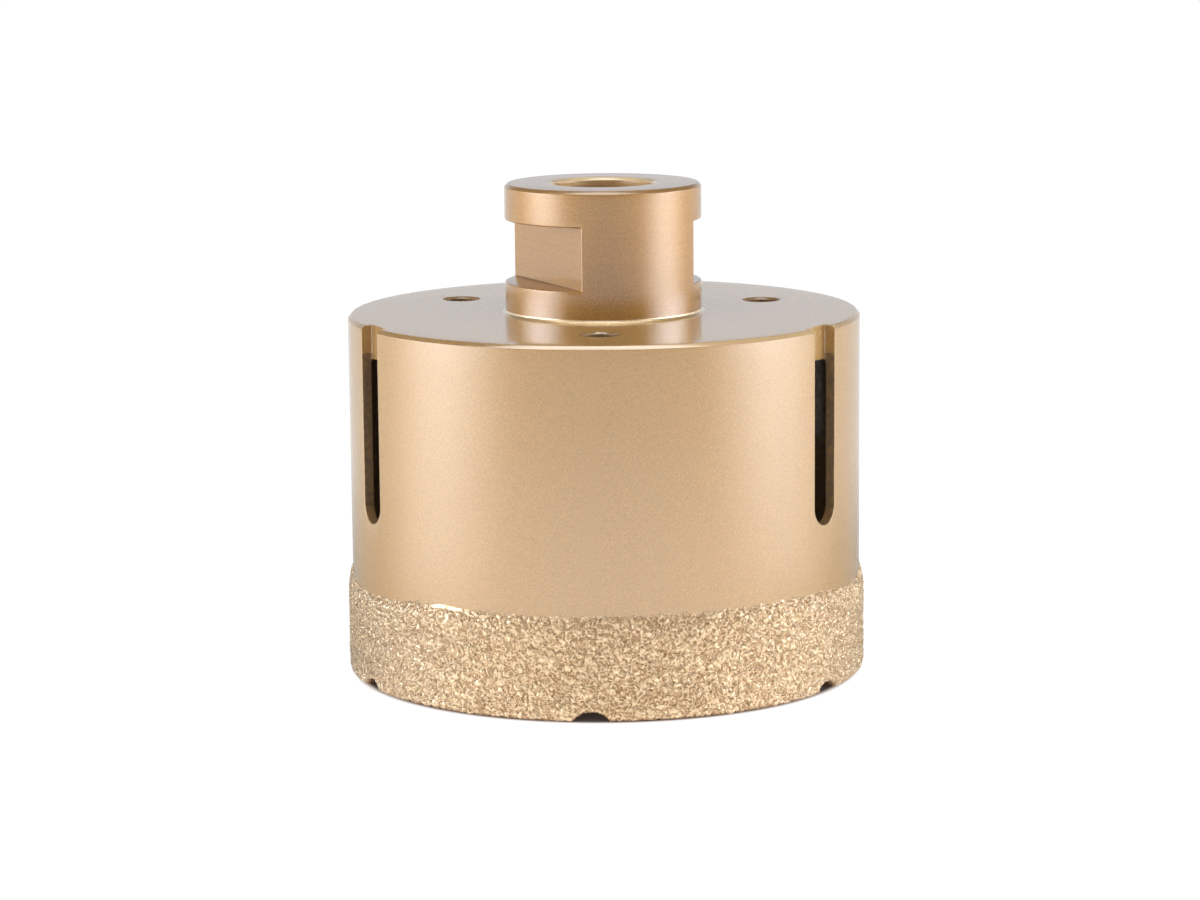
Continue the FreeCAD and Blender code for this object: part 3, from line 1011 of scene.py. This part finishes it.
def makeWorld(spec):
    world = bpy.data.worlds.new("studio")
    bpy.context.scene.world = world
    world.use_nodes = True
    tree = world.node_tree
    tree.nodes.clear()
    straight, glossy = seenDirectly(tree)
    way = axesOf(tree, put(tree, "ShaderNodeTexCoord").outputs["Generated"])
    level = ramp(tree, way["Y"], *spec["glowSpan"], *spec["glowLevels"])
    upper = ramp(tree, way["Z"], *spec["upperSpan"])
    mirror = between(tree, upper, level, spec["upperGlow"])
    lift = apart(tree, way["Z"], math.sin(math.radians(spec["sideElevation"])))
    band = ramp(tree, lift, 0.0, math.sin(math.radians(spec["sideRise"])), spec["sideGlow"], 0.0)
    azimuth = azimuthOf(tree, way)
    for middle in spec["sideAzimuths"]:
        near = nearAzimuth(tree, azimuth, middle, spec["sideReach"])
        mirror = calc(tree, "MULTIPLY_ADD", near, band, mirror)
    around = between(tree, glossy, spec["fill"], mirror)
    level = between(tree, straight, around, 1.0)
    tint = blendColours(tree, straight, spec["coolGlow"], (1, 1, 1, 1))
    light = put(tree, "ShaderNodeBackground", {"Color": tint, "Strength": level})
    put(tree, "ShaderNodeOutputWorld", {"Surface": light.outputs[0]})


def makeLamp(name, place, width, height, strength, aim=(0, 0, 0.03)):
    data = bpy.data.lights.new(name, "AREA")
    data.shape = "RECTANGLE"
    data.size, data.size_y = width, height
    data.energy = strength * math.pi * width * height
    lamp = bpy.data.objects.new(name, data)
    bpy.context.scene.collection.objects.link(lamp)
    lamp.location = place
    lamp.rotation_euler = (Vector(aim) - Vector(place)).to_track_quat("-Z", "Y").to_euler()
    lamp.visible_camera = False


def makeFloor(spec, paper):
    # the mirrored paper is brighter in two bands at the sides; the rim's footprint is painted dark as a shadow,
    # tinted brown
    material, tree = newMaterial("paleFloor")
    straight, glossy = seenDirectly(tree)
    place = objectPlace(tree)
    reach = put(tree, "ShaderNodeVectorMath", {0: place}, operation="LENGTH").outputs["Value"]
    azimuth = azimuthOf(tree, axesOf(tree, place))
    front = ramp(tree, reach, *paper["frontSpan"], *paper["frontLevels"])
    turned = ramp(tree, calc(tree, "ABSOLUTE", azimuth), *(math.radians(angle) for angle in paper["turnSpan"]))
    back = ramp(tree, reach, *paper["backSpan"], *paper["backLevels"])
    mirrored = between(tree, turned, front, back)
    band = ramp(tree, reach, *paper["bandSpan"], *paper["bandLevels"], smooth=False)
    band = times(tree, band, ramp(tree, reach, *paper["bandGate"]))
    for middle in paper["bands"]:
        near = nearAzimuth(tree, azimuth, middle, paper["bandReach"])
        mirrored = calc(tree, "MULTIPLY_ADD", near, band, mirrored)
    shaded = calc(tree, "MULTIPLY_ADD", turned, paper["shadeDrawn"] * mm, reach)
    footprint = ramp(tree, shaded, paper["shadeInner"] * mm, paper["shadeOuter"] * mm, paper["shade"], 1.0)
    shown = calc(tree, "MULTIPLY_ADD", straight, paper["shown"], times(tree, glossy, mirrored))
    sheet = put(tree, "ShaderNodeBsdfDiffuse", {"Color": (paper["white"],) * 3 + (1,)})
    strength = times(tree, shown, footprint)
    tint = blendColours(tree, footprint, paper["shadeTint"], (1, 1, 1, 1))
    glow = put(tree, "ShaderNodeEmission", {"Color": tint, "Strength": strength})
    both = put(tree, "ShaderNodeAddShader", {0: sheet.outputs[0], 1: glow.outputs[0]})
    put(tree, "ShaderNodeOutputMaterial", {"Surface": both.outputs[0]})
    half, level = spec["floorSize"] / 2, spec["floorLevel"] * mm
    corners = [(-half, -half, level), (half, -half, level), (half, half, level), (-half, half, level)]
    floor = newObject("floor", meshFrom("floor", corners, faces=[(0, 1, 2, 3)]))
    floor.data.materials.append(material)


makeWorld(studioSpec)
makeFloor(studioSpec, paperSpec)
makeLamp("lampTop", (0, -studioSpec["topForward"], studioSpec["topHeight"]), studioSpec["topWidth"],
         studioSpec["topDepth"], studioSpec["topStrength"])
makeLamp("lampFront", onRing(studioSpec["frontDistance"], cameraSpec["azimuth"], studioSpec["frontLevel"]),
         studioSpec["frontWidth"], studioSpec["frontHeight"], studioSpec["frontStrength"])
bpy.context.scene.view_settings.view_transform = "Standard"
print("studio lit")
